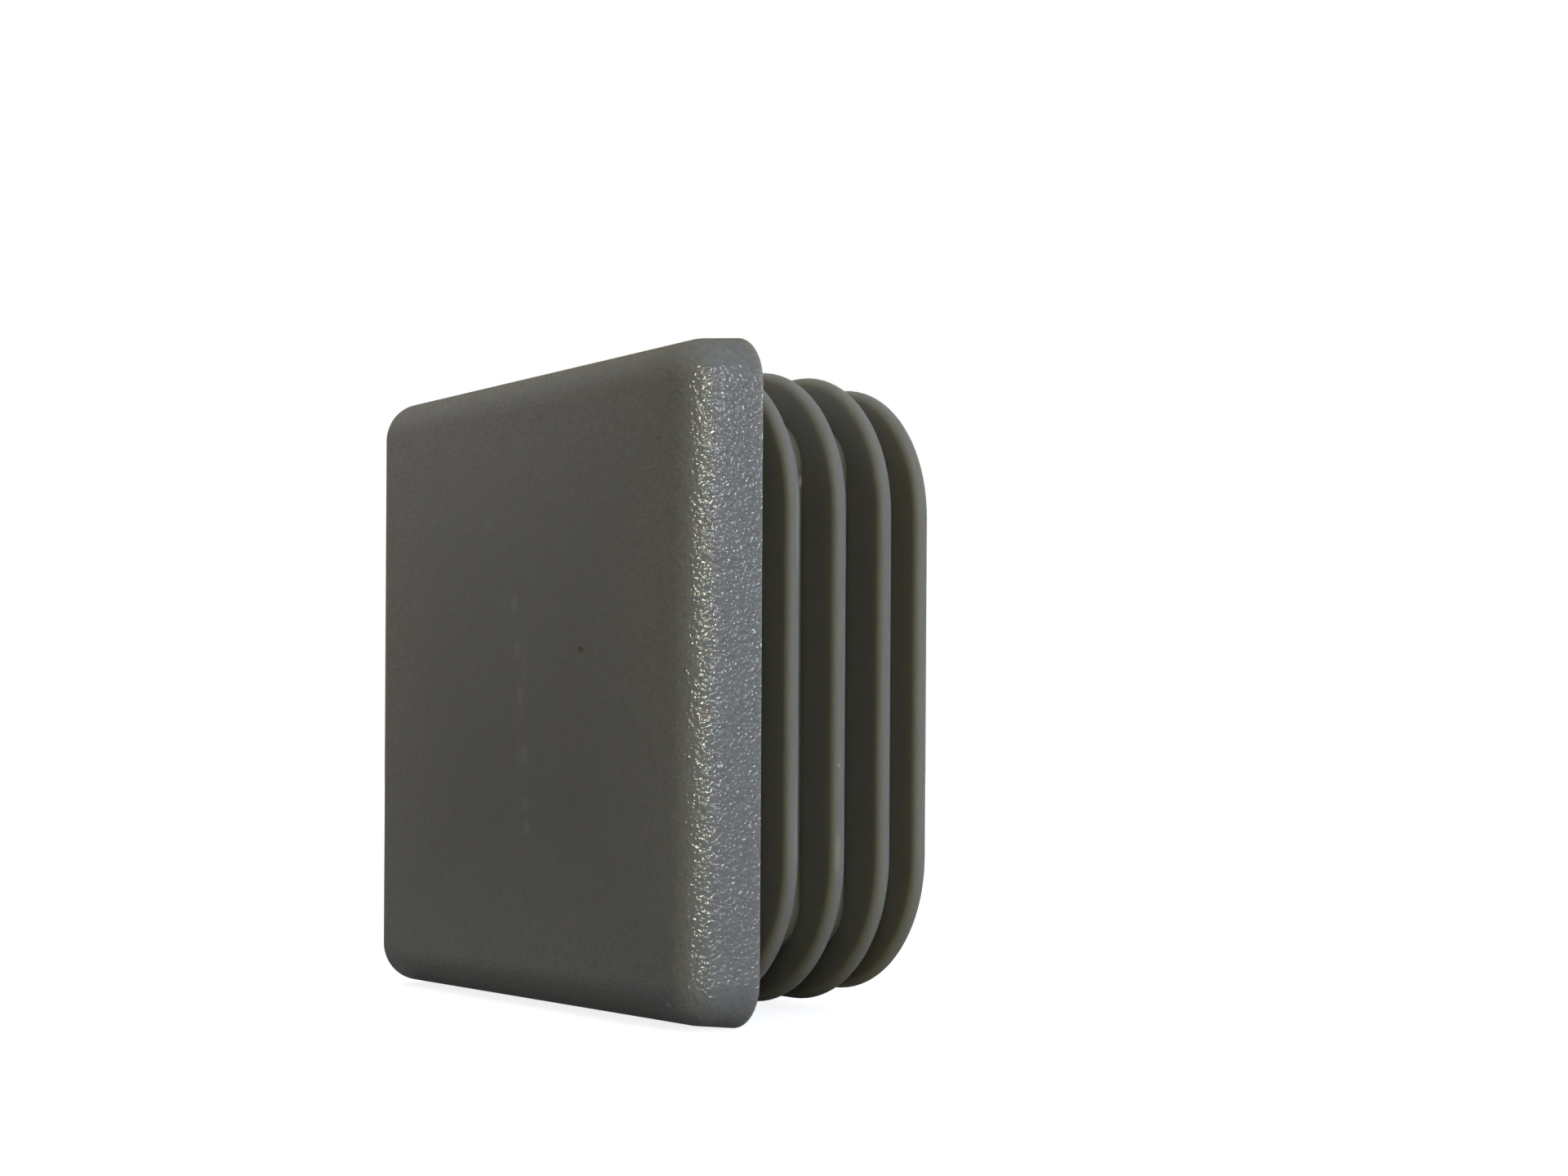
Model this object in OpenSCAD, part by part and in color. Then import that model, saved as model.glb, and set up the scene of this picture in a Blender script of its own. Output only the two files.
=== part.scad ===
// Square end cap for a steel tube, moulded in one piece: a head with rounded
// edges, a hollow square core behind it, and thin lamellae round the core that
// grip the inside of the tube.
// Sizes are in millimetres. The origin is the centre of the plane where the
// tube's end seats against the head, and +X runs into the tube.

/* [Head] */

// Width of the head across its flat sides, equal to the tube's outside width
head_width = 40; // [36:0.5:60]
// Height of the head, from the seat to the outer face
head_height = 4.6; // [3.6:0.1:8]
// Corner radius of the head at the seat
head_corner = 2.85; // [2:0.05:6]
// Rounding between the outer face and the four sides
front_round = 2.4; // [0.5:0.1:4]
// Draft of the head's four sides, in degrees
side_draft = 6; // [0:0.1:8]

/* [Core] */

// Length of the core, from the seat to its open end
insert_length = 14; // [8:0.5:30]
// Outside width of the hollow core at the seat
core_width = 32.2; // [28:0.1:34]
// Outside corner radius of the core at the seat
core_corner = 3.2; // [2.6:0.1:6]
// Draft of the core's four sides, in degrees
core_draft = 1; // [0:0.1:2]
// Wall of the core at its open end
core_wall = 1.8; // [1.2:0.1:2]
// Chamfer round the outside of the core's open end
end_chamfer = 0.6; // [0.2:0.1:1]
// Plastic left between the cavity's floor and the outer face
face_wall = 2.4; // [1.5:0.1:3]
// Draft of the cavity's walls, in degrees
cavity_draft = 1; // [0:0.1:1.5]
// Rounding between the cavity's floor and its walls
floor_round = 0.8; // [0.2:0.1:1.5]

/* [Lamellae] */

// Width across the lamellae, from crest to crest
lamella_width = 38.7; // [35:0.1:39.5]
// Corner radius of the lamellae along their crest
lamella_corner = 9.1; // [4:0.1:12]
// Thickness of a lamella at its rounded crest
lamella_crest = 1; // [0.5:0.05:1.2]
// Slope of the side of a lamella that enters the tube first, in degrees
lamella_slope = 5; // [0:0.5:10]
// Distance from the seat to the middle of the first crest
first_lamella = 2.86; // [2:0.01:5]
// Distance from one crest to the next, before the last
lamella_pitch = 3.39; // [2.5:0.01:6]
// Distance from the last crest but one to the last
last_pitch = 3.17; // [2.5:0.01:6]
// Least distance from the last crest to the core's open end
last_lamella_margin = 0.9; // [0.8:0.1:3]
// How much less the last lamella stands out, so that the insert starts easily
lead_in_step = 0.5; // [0:0.05:1]

/* [Hidden] */

// Facets of a full turn, for the preview only
smoothness = 64;
// How far a piece runs on inside its neighbour, or a cut past the surface
overrun = 1;
// Least flat that a rounding leaves at the corner of its face
least_flat = 0.02;
// Length left for the lamellae between the first and the last, and their number
pitched_length = insert_length - first_lamella - last_pitch - last_lamella_margin;
lamella_count = 2 + floor(pitched_length / lamella_pitch);
// How much the core narrows on each side, from the seat to its open end
core_taper = insert_length * tan(core_draft);
// Width and corner radius of the cavity at its mouth
mouth_width = core_width - 2 * core_taper - 2 * core_wall;
mouth_corner = core_corner - core_taper - core_wall;
// Depth of the cavity, from the core's open end into the head
cavity_depth = insert_length + head_height - face_wall;
// Colour of the moulded plastic
plastic = [0.33, 0.33, 0.31];

// Largest rounding that fits at the foot of a tapered block
function round_limit(corner, depth, draft) =
    (corner - least_flat - depth * tan(draft)) / (1 / cos(draft) - tan(draft));

// Distance from the axis to the centre of the corner arcs
function corner_centre(width, corner) = width / 2 - corner;

// Carries a profile round a rounded square: the profile's X runs outwards from
// the centre of the corner arcs, and its Y along the cap's axis.
module swept(width, corner) {
    centre = corner_centre(width, corner);
    for (turn = [0:90:270])
        rotate([0, 0, turn])
            translate([centre, centre, 0]) {
                rotate([90, 0, 0])
                    linear_extrude(height = 2 * centre)
                        children();
                rotate_extrude(angle = 90, $fn = smoothness)
                    children();
            }
}

// Square middle of a block, inside the centres of its corner arcs
module middle(width, corner, bottom, top) {
    centre = corner_centre(width, corner);
    translate([-centre, -centre, bottom])
        cube([2 * centre, 2 * centre, top - bottom]);
}

// Half section of a block that tapers downwards from height 0 and has a
// rounded foot; it may run on straight above its top
module tapered_profile(corner, depth, draft, foot_round, above) {
    round_r = min(foot_round, round_limit(corner, depth, draft));
    centre_y = round_r - depth;
    centre_x = corner + centre_y * tan(draft) - round_r / cos(draft);
    polygon([
        [0, above],
        [corner, above],
        [corner, 0],
        [centre_x + round_r * cos(draft), centre_y - round_r * sin(draft)],
        [centre_x, centre_y],
        [centre_x, -depth],
        [0, -depth]
    ]);
    intersection() {
        translate([centre_x, centre_y])
            circle(r = round_r, $fn = smoothness);
        translate([centre_x, -depth])
            square([round_r, round_r]);
    }
}

// Rounded square block with a drafted side and a rounded foot
module tapered_block(width, corner, depth, draft, foot_round, above) {
    swept(width, corner)
        tapered_profile(corner, depth, draft, foot_round, above);
    middle(width, corner, -depth, above);
}

// Half section of the core, drafted, with the chamfer round its open end
module core_profile() {
    chamfer_y = insert_length - end_chamfer;
    polygon([
        [0, -overrun],
        [core_corner, -overrun],
        [core_corner, 0],
        [core_corner - chamfer_y * tan(core_draft), chamfer_y],
        [core_corner - core_taper - end_chamfer, insert_length],
        [0, insert_length]
    ]);
}

module core() {
    swept(core_width, core_corner)
        core_profile();
    middle(core_width, core_corner, -overrun, insert_length);
}

// Half section of a lamella: square to the axis on the head's side, sloped on
// the side that enters first, with a fully rounded crest
module lamella_profile(corner) {
    tip_r = lamella_crest / 2;
    tip_x = corner - tip_r;
    touch_x = tip_x + tip_r * sin(lamella_slope);
    touch_y = tip_r * cos(lamella_slope);
    polygon([
        [0, -tip_r],
        [tip_x, -tip_r],
        [tip_x, 0],
        [touch_x, touch_y],
        [0, touch_y + touch_x * tan(lamella_slope)]
    ]);
    translate([tip_x, 0])
        circle(r = tip_r, $fn = smoothness);
}

// One lamella, as a full plate round the axis; the cavity opens its middle
module lamella(inset) {
    width = lamella_width - 2 * inset;
    corner = lamella_corner - inset;
    tip_r = lamella_crest / 2;
    swept(width, corner)
        lamella_profile(corner);
    middle(width, corner, -tip_r, tip_r);
}

// All the lamellae; the last stands closer and lower than the others
module lamellae() {
    last_but_one = first_lamella + (lamella_count - 2) * lamella_pitch;
    for (i = [0:lamella_count - 2])
        translate([0, 0, first_lamella + i * lamella_pitch])
            lamella(0);
    translate([0, 0, last_but_one + last_pitch])
        lamella(lead_in_step);
}

module head() {
    tapered_block(head_width, head_corner, head_height, side_draft, front_round, 0);
}

module cavity() {
    translate([0, 0, insert_length])
        tapered_block(mouth_width, mouth_corner, cavity_depth, cavity_draft, floor_round, overrun);
}

module end_cap() {
    color(plastic)
        rotate([0, 90, 0])
            difference() {
                union() {
                    head();
                    core();
                    lamellae();
                }
                cavity();
            }
}

end_cap();
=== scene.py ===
"""Dresses the tube end cap: moulded grey plastic, soft studio light, and the camera of the photograph."""
import math

import bpy
from mathutils import Matrix, Vector

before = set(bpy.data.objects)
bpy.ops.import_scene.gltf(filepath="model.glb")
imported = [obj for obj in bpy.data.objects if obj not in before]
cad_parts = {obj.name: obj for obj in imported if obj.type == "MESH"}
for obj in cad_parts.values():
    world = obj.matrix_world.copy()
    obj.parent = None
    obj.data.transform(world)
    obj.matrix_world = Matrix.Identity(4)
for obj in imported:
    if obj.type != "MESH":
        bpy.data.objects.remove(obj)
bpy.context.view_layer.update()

MM = 0.001

# Camera, fitted to the outline in the photograph with the picture's centre held at half its width
IMAGE_WIDTH = 1920
IMAGE_HEIGHT = 1440
FOCAL_PX = 3023.6
CENTRE_Y_PX = 920.2
SENSOR_WIDTH = 36.0
YAW = math.radians(35.98)
ROLL = math.radians(0.33)
CAMERA_RIGHT = 13.06 * MM
CAMERA_BACK = 157.11 * MM
CAMERA_UP = -3.94 * MM
NEAREST_SEEN = 0.01
FARTHEST_SEEN = 20

# Studio: the ambient light that the cap gets, and the white that the camera sees round it
AMBIENT = (1.0, 0.86, 0.45)
AMBIENT_STRENGTH = 0.165
WHITE = (1, 1, 1)

# Floor, at the lowest point of the head. The camera sees its own white on it, a little darker within
# the distances of FLOOR_FADE from the cap; what it sends back to the cap is less.
FLOOR_Z = -20 * MM
FLOOR_REACH = 1.5
FLOOR_SEEN = (0.4, 0.4, 0.4)
FLOOR_BOUNCE = (0.12, 0.12, 0.12)
FLOOR_WHITE = 0.84
FLOOR_MIRRORED = 0.045
FLOOR_FADE = (60 * MM, 300 * MM)

# Lamps: azimuth and elevation in degrees, distance and side in metres, radiance, colour, and whether
# the gloss of the cap mirrors the lamp
LAMPS = {
    "key_left": (34, 15, 0.9, 0.24, 7.2, (1.0, 0.98, 0.80), True),
    "key": (-2, 15, 0.9, 0.20, 4.8, (0.77, 0.90, 1.0), True),
    "cool": (-26, 12, 0.9, 0.14, 1.8, (0.48, 0.78, 1.0), True),
    "front": (-3, 15, 0.9, 0.40, 9.6, (0.96, 1.0, 0.34), False),
    "front_cool": (-16, 20, 0.9, 0.50, 7.0, (0.06, 0.10, 1.0), False),
    "above": (-30, 60, 0.9, 0.60, 3.0, (0.35, 0.62, 1.0), False),
    "back": (-160, 30, 0.9, 0.80, 1.8, (0.95, 0.97, 1.0), False),
    "inside": (-110, 20, 0.9, 0.80, 1.6, (0.95, 0.97, 1.0), False),
    "face_top": (110, 60, 0.07, 0.04, 3.8, (0.52, 0.64, 1.0), False),
    "face_far": (140, 30, 0.07, 0.04, 1.5, (0.85, 0.80, 1.0), False),
}

# Pigment: two greys in clouds, two tints in mottling, and fine light and dark where the grain is
PLASTIC = (0.157, 0.151, 0.138)
PLASTIC_DARK = (0.143, 0.139, 0.128)
REDDER = (1.035, 0.99, 0.985)
GREENER = (0.965, 1.01, 0.995)
DARKER = (0.70, 0.70, 0.71)
LIGHTER = (1.30, 1.30, 1.29)
CLOUD_SIZE = 4 * MM
MOTTLE_SIZE = 1.1 * MM
MOTTLE_RANGE = (0.3, 0.7)
DUST_SIZE = 0.4 * MM
DUST_ROUGHNESS = 0.6

# Translucency, full in the thin insert and less in the thick head, and the gloss of the grain
PLASTIC_ROUGHNESS = 0.5
INSERT_TRANSLUCENCY = 1.0
HEAD_TRANSLUCENCY = 0.3
LIGHT_REACH = (1.0, 0.9, 0.45)
LIGHT_REACH_SCALE = 3.0 * MM
GLOSS_ROUGHNESS = 0.08
GLOSS_IOR = 2.2

# Grain: shallow bowls with a warp of their places, and finer unevenness over them
GRAIN = 0.25 * MM
GRAIN_DEPTH = 0.07 * MM
GRAIN_SMOOTHNESS = 0.3
SOFT_GRAIN_SHARE = 0.45
WARP_SIZE = 0.45 * MM
WARP_SHIFT = 0.35 * MM
FINE_SIZE = 0.11 * MM
FINE_SHARE = 0.10

# Where the grain lies: the pairs are limits along X, or from the axis, between which it comes or goes
SEAT_EDGE = (0.01 * MM, 0.05 * MM)
FACE_EDGE = (-4.5 * MM, -4.15 * MM)
FACE_SPREAD = (8 * MM, 16.5 * MM)
FACE_GRAIN = (0.35, 0.85)
CAVITY_SIDE = (14.6 * MM, 15.4 * MM)
CAVITY_FLOOR = (-4.2 * MM, -3.8 * MM)

# Marks, of use and of painted light, that the photograph shows, in mm and degrees: the middle, the half
# lengths along the axes, the turn about X, and what the plastic's colour is multiplied by in the middle of
# the mark
SCUFF = (1.24, 1.23, 1.22)
FAINT_SCUFF = (1.07, 1.06, 1.06)
MARKS = {
    "speck_on_face": ((-4.6, -7.74, 2.12), (0.3, 0.30, 0.17), 0, (0.40, 0.42, 0.14)),
    "scuff_on_face_1": ((-4.6, 0.25, 5.28), (0.3, 0.45, 0.60), 0, SCUFF),
    "scuff_on_face_2": ((-4.6, -0.09, 2.35), (0.3, 0.40, 0.65), 0, SCUFF),
    "scuff_on_face_3": ((-4.6, -0.43, -0.46), (0.3, 0.40, 0.50), 0, SCUFF),
    "scuff_on_face_4": ((-4.6, -1.08, -4.18), (0.3, 0.45, 0.60), 0, SCUFF),
    "scuff_on_face_5": ((-4.6, -1.22, -7.27), (0.3, 0.40, 0.50), 0, SCUFF),
    "scuff_on_face_6": ((-4.6, -1.44, -8.74), (0.3, 0.40, 0.50), 0, SCUFF),
    "scuff_on_face_line": ((-4.6, -0.60, -1.80), (0.3, 0.40, 7.50), 6.9, FAINT_SCUFF),
    "nick_at_bottom_corner": ((-4.3, -17.2, -18.4), (0.25, 0.25, 0.12), 0, (2.2, 2.2, 2.1)),
    "pit_near_top_1": ((-4.52, -16.05, 17.97), (0.15, 0.18, 0.10), 0, (0.6, 0.6, 0.6)),
    "pit_near_top_2": ((-4.6, -16.14, 13.98), (0.15, 0.18, 0.10), 0, (0.6, 0.6, 0.6)),
    # a small spot on the core between crests 1 and 2, made about three times lighter
    "bright_spot_on_core": ((5.61, -16.0, 12.17), (0.11, 0.25, 0.30), 0, (3.4, 2.6, 2.6)),
    "speck_on_crest_2": ((6.09, -19.32, -4.73), (0.09, 0.20, 0.09), 0, (1.9, 1.8, 1.7)),
    # a lighter patch on the lower part of crest 2
    "bright_patch_on_crest_2": ((6.04, -19.28, -9.90), (0.14, 0.20, 1.20), 0, (1.35, 1.30, 1.20)),
    # painted highlight: a lighter line along the upper part of crest 1, where light sparkles on its edge
    "painted_highlight_on_crest_1": ((2.96, -19.30, 9.80), (0.08, 0.25, 3.00), 0, (1.32, 1.28, 1.24)),
    # painted reflection: a bluish lighter line along the lower part of crest 1, the cool lamp mirrored in
    # its edge
    "painted_reflection_on_crest_1": ((2.99, -19.28, -8.20), (0.05, 0.25, 3.30), 0, (1.30, 1.36, 1.50)),
}
# How far a mark's edge is broken, and between which shares of its half length it fades
MARK_BREAK_SIZE = 0.12 * MM
MARK_BREAK = 0.7
MARK_FADE = (0.7, 1.8)


def make_camera():
    right = Vector((math.cos(YAW), -math.sin(YAW), 0))
    ahead = Vector((math.sin(YAW), math.cos(YAW), 0))
    up = Vector((0, 0, 1))
    place = CAMERA_RIGHT * right - CAMERA_BACK * ahead + CAMERA_UP * up
    turn = Matrix((right, up, -ahead)).transposed()
    turn = turn @ Matrix.Rotation(ROLL, 3, "Z")
    data = bpy.data.cameras.new("photo_camera")
    data.sensor_width = SENSOR_WIDTH
    data.lens = FOCAL_PX * SENSOR_WIDTH / IMAGE_WIDTH
    data.shift_y = (CENTRE_Y_PX - IMAGE_HEIGHT / 2) / IMAGE_WIDTH
    data.clip_start = NEAREST_SEEN
    data.clip_end = FARTHEST_SEEN
    camera = bpy.data.objects.new("photo_camera", data)
    camera.matrix_world = Matrix.Translation(place) @ turn.to_4x4()
    bpy.context.scene.collection.objects.link(camera)
    bpy.context.scene.camera = camera


# Small helpers for node trees

def new_material(name):
    material = bpy.data.materials.new(name)
    material.use_nodes = True
    tree = material.node_tree
    shader = tree.nodes["Principled BSDF"]
    return material, tree, shader


def add(tree, kind, **settings):
    node = tree.nodes.new(kind)
    for key, value in settings.items():
        setattr(node, key, value)
    return node


def math_node(tree, operation, a, b=None):
    node = add(tree, "ShaderNodeMath", operation=operation)
    for socket, value in zip(node.inputs, (a, b)):
        if value is None:
            continue
        if hasattr(value, "is_linked"):
            tree.links.new(value, socket)
        else:
            socket.default_value = value
    return node.outputs[0]


def noise(tree, place, size, detail, roughness=0.5):
    node = add(tree, "ShaderNodeTexNoise")
    node.inputs["Scale"].default_value = 1 / size
    node.inputs["Detail"].default_value = detail
    node.inputs["Roughness"].default_value = roughness
    tree.links.new(place, node.inputs["Vector"])
    return node


def voronoi(tree, place, size, smoothness):
    node = add(tree, "ShaderNodeTexVoronoi", feature="SMOOTH_F1")
    node.inputs["Scale"].default_value = 1 / size
    node.inputs["Smoothness"].default_value = smoothness
    tree.links.new(place, node.inputs["Vector"])
    return node.outputs["Distance"]


def vector_length(tree, vector):
    node = add(tree, "ShaderNodeVectorMath", operation="LENGTH")
    tree.links.new(vector, node.inputs[0])
    return node.outputs["Value"]


def map_range(tree, value, limits, results, smooth=False):
    node = add(tree, "ShaderNodeMapRange")
    if smooth:
        node.interpolation_type = "SMOOTHSTEP"
    for name, number in zip(("From Min", "From Max", "To Min", "To Max"), (*limits, *results)):
        node.inputs[name].default_value = number
    tree.links.new(value, node.inputs["Value"])
    return node.outputs["Result"]


def mix_colour(tree, factor, a, b, blend="MIX"):
    node = add(tree, "ShaderNodeMix", data_type="RGBA", blend_type=blend)
    for socket, value in ((node.inputs[0], factor), (node.inputs[6], a), (node.inputs[7], b)):
        if hasattr(value, "is_linked"):
            tree.links.new(value, socket)
        elif isinstance(value, tuple):
            socket.default_value = (*value, 1)
        else:
            socket.default_value = value
    return node.outputs[2]


def add_bump(tree, height, distance, normal):
    bump = add(tree, "ShaderNodeBump")
    bump.inputs["Strength"].default_value = 1.0
    bump.inputs["Distance"].default_value = distance
    tree.links.new(height, bump.inputs["Height"])
    tree.links.new(bump.outputs["Normal"], normal)


def add_marks(tree, place, colour):
    """Tints the colour in an oval with soft, slightly broken edges round each mark's middle."""
    broken = math_node(tree, "MULTIPLY", noise(tree, place, MARK_BREAK_SIZE, 1).outputs["Fac"], MARK_BREAK)
    for name, (middle, half_lengths, turn, tint) in MARKS.items():
        oval = add(tree, "ShaderNodeMapping", vector_type="TEXTURE", name=name, label=name)
        tree.links.new(place, oval.inputs["Vector"])
        oval.inputs["Location"].default_value = [v * MM for v in middle]
        oval.inputs["Rotation"].default_value = (math.radians(turn), 0, 0)
        oval.inputs["Scale"].default_value = [v * MM for v in half_lengths]
        distance = math_node(tree, "ADD", vector_length(tree, oval.outputs[0]), broken)
        inside = map_range(tree, distance, MARK_FADE, (1, 0), smooth=True)
        colour = mix_colour(tree, inside, colour, tint, "MULTIPLY")
    return colour


def head_and_grain(tree, place):
    """Masks of the head and of its grain, which is faint on the face's middle and absent in the cavity."""
    axes = add(tree, "ShaderNodeSeparateXYZ")
    tree.links.new(place, axes.inputs[0])
    along = axes.outputs["X"]
    across = math_node(tree, "ABSOLUTE", axes.outputs["Y"])
    upwards = math_node(tree, "ABSOLUTE", axes.outputs["Z"])
    off_axis = math_node(tree, "MAXIMUM", across, upwards)
    head = map_range(tree, along, SEAT_EDGE, (1, 0))
    on_face = map_range(tree, off_axis, FACE_SPREAD, FACE_GRAIN)
    off_face = map_range(tree, along, FACE_EDGE, (0, 1))
    depth = math_node(tree, "MULTIPLY", head, math_node(tree, "MAXIMUM", on_face, off_face))
    outside = map_range(tree, off_axis, CAVITY_SIDE, (0, 1))
    near_face = map_range(tree, along, CAVITY_FLOOR, (1, 0))
    depth = math_node(tree, "MULTIPLY", depth, math_node(tree, "MAXIMUM", outside, near_face))
    return head, depth


def pigment(tree, place, depth):
    """Colour of the plastic: clouds, mottling, fine dust where the grain is, the marks of use, and a
    painted highlight and a painted reflection on crest 1.
    """
    clouds = noise(tree, place, CLOUD_SIZE, 3).outputs["Fac"]
    colour = mix_colour(tree, clouds, PLASTIC, PLASTIC_DARK)
    mottling = map_range(tree, noise(tree, place, MOTTLE_SIZE, 2).outputs["Fac"], MOTTLE_RANGE, (0, 1))
    hue = mix_colour(tree, mottling, REDDER, GREENER)
    colour = mix_colour(tree, 1.0, colour, hue, "MULTIPLY")
    dust = noise(tree, place, DUST_SIZE, 2, DUST_ROUGHNESS).outputs["Fac"]
    dust = math_node(tree, "MULTIPLY", math_node(tree, "SUBTRACT", dust, 0.5), depth)
    shade = mix_colour(tree, math_node(tree, "ADD", dust, 0.5), DARKER, LIGHTER)
    colour = mix_colour(tree, 1.0, colour, shade, "MULTIPLY")
    return add_marks(tree, place, colour)


def grain_height(tree, place, depth):
    """Shallow bowls of mixed shapes, as a spark-eroded mould leaves."""
    warp = noise(tree, place, WARP_SIZE, 1.0)
    shift = add(tree, "ShaderNodeVectorMath", operation="MULTIPLY_ADD")
    tree.links.new(warp.outputs["Color"], shift.inputs[0])
    shift.inputs[1].default_value = (WARP_SHIFT, WARP_SHIFT, WARP_SHIFT)
    tree.links.new(place, shift.inputs[2])
    cells = voronoi(tree, shift.outputs[0], GRAIN, GRAIN_SMOOTHNESS)
    bowls = math_node(tree, "MULTIPLY", cells, cells)
    fine = math_node(tree, "MULTIPLY", noise(tree, place, FINE_SIZE, 1.0).outputs["Fac"], FINE_SHARE)
    return math_node(tree, "MULTIPLY", math_node(tree, "ADD", bowls, fine), depth)


def plastic_material():
    material, tree, shader = new_material("grey_plastic")
    place = add(tree, "ShaderNodeTexCoord").outputs["Object"]
    head, depth = head_and_grain(tree, place)
    tree.links.new(pigment(tree, place, depth), shader.inputs["Base Color"])
    shader.inputs["Roughness"].default_value = PLASTIC_ROUGHNESS
    translucency = map_range(tree, head, (0, 1), (INSERT_TRANSLUCENCY, HEAD_TRANSLUCENCY))
    tree.links.new(translucency, shader.inputs["Subsurface Weight"])
    shader.inputs["Subsurface Radius"].default_value = LIGHT_REACH
    shader.inputs["Subsurface Scale"].default_value = LIGHT_REACH_SCALE
    grain = grain_height(tree, place, depth)
    add_bump(tree, grain, GRAIN_DEPTH, shader.inputs["Coat Normal"])
    add_bump(tree, grain, SOFT_GRAIN_SHARE * GRAIN_DEPTH, shader.inputs["Normal"])
    tree.links.new(depth, shader.inputs["Coat Weight"])
    shader.inputs["Coat Roughness"].default_value = GLOSS_ROUGHNESS
    shader.inputs["Coat IOR"].default_value = GLOSS_IOR
    return material


def area_light(name, azimuth, elevation, distance, size, radiance, colour, mirrored):
    """A square lamp that faces the cap. Azimuth 0 is on the -Y side and 90 on the -X side."""
    a = math.radians(azimuth)
    e = math.radians(elevation)
    towards = Vector((-math.sin(a) * math.cos(e), -math.cos(a) * math.cos(e), math.sin(e)))
    data = bpy.data.lights.new(name, "AREA")
    data.shape = "SQUARE"
    data.size = size
    data.energy = radiance * math.pi * size * size
    data.color = colour
    lamp = bpy.data.objects.new(name, data)
    lamp.location = towards * distance
    lamp.rotation_mode = "QUATERNION"
    lamp.rotation_quaternion = towards.to_track_quat("Z", "Y")
    lamp.visible_camera = False
    lamp.visible_glossy = mirrored
    bpy.context.scene.collection.objects.link(lamp)


def background(tree, colour, strength):
    node = add(tree, "ShaderNodeBackground")
    node.inputs["Color"].default_value = (*colour, 1)
    node.inputs["Strength"].default_value = strength
    return node.outputs[0]


def make_world():
    world = bpy.data.worlds.new("studio")
    bpy.context.scene.world = world
    world.use_nodes = True
    tree = world.node_tree
    tree.nodes.clear()
    path = add(tree, "ShaderNodeLightPath")
    mix = add(tree, "ShaderNodeMixShader")
    tree.links.new(path.outputs["Is Camera Ray"], mix.inputs[0])
    tree.links.new(background(tree, AMBIENT, AMBIENT_STRENGTH), mix.inputs[1])
    tree.links.new(background(tree, WHITE, 1.0), mix.inputs[2])
    out = add(tree, "ShaderNodeOutputWorld")
    tree.links.new(mix.outputs[0], out.inputs["Surface"])


def floor_material():
    """Pale cloth for the light; white for the camera, with a soft shadow where the cap is in the way."""
    material = bpy.data.materials.new("floor_white")
    material.use_nodes = True
    tree = material.node_tree
    tree.nodes.clear()
    path = add(tree, "ShaderNodeLightPath")
    seen = path.outputs["Is Camera Ray"]
    cloth = add(tree, "ShaderNodeBsdfDiffuse")
    shade = mix_colour(tree, seen, FLOOR_BOUNCE, FLOOR_SEEN)
    tree.links.new(shade, cloth.inputs["Color"])
    place = add(tree, "ShaderNodeTexCoord").outputs["Object"]
    fade = map_range(tree, vector_length(tree, place), FLOOR_FADE, (FLOOR_WHITE, 1.0), smooth=True)
    shown = math_node(tree, "MULTIPLY", seen, fade)
    mirrored = math_node(tree, "MULTIPLY", path.outputs["Is Glossy Ray"], FLOOR_MIRRORED)
    white = add(tree, "ShaderNodeEmission")
    tree.links.new(math_node(tree, "ADD", shown, mirrored), white.inputs["Strength"])
    both = add(tree, "ShaderNodeAddShader")
    tree.links.new(cloth.outputs[0], both.inputs[0])
    tree.links.new(white.outputs[0], both.inputs[1])
    out = add(tree, "ShaderNodeOutputMaterial")
    tree.links.new(both.outputs[0], out.inputs["Surface"])
    return material


def make_floor():
    mesh = bpy.data.meshes.new("floor")
    r = FLOOR_REACH
    corners = [(x, y, FLOOR_Z) for x, y in ((-r, -r), (r, -r), (r, r), (-r, r))]
    mesh.from_pydata(corners, [], [(0, 1, 2, 3)])
    floor = bpy.data.objects.new("floor", mesh)
    bpy.context.scene.collection.objects.link(floor)
    mesh.materials.append(floor_material())


make_camera()
make_world()
make_floor()
for lamp_name, settings in LAMPS.items():
    area_light(lamp_name, *settings)

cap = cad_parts["end_cap"]
cap.data.materials.clear()
cap.data.materials.append(plastic_material())

bpy.context.scene.view_settings.view_transform = "Standard"
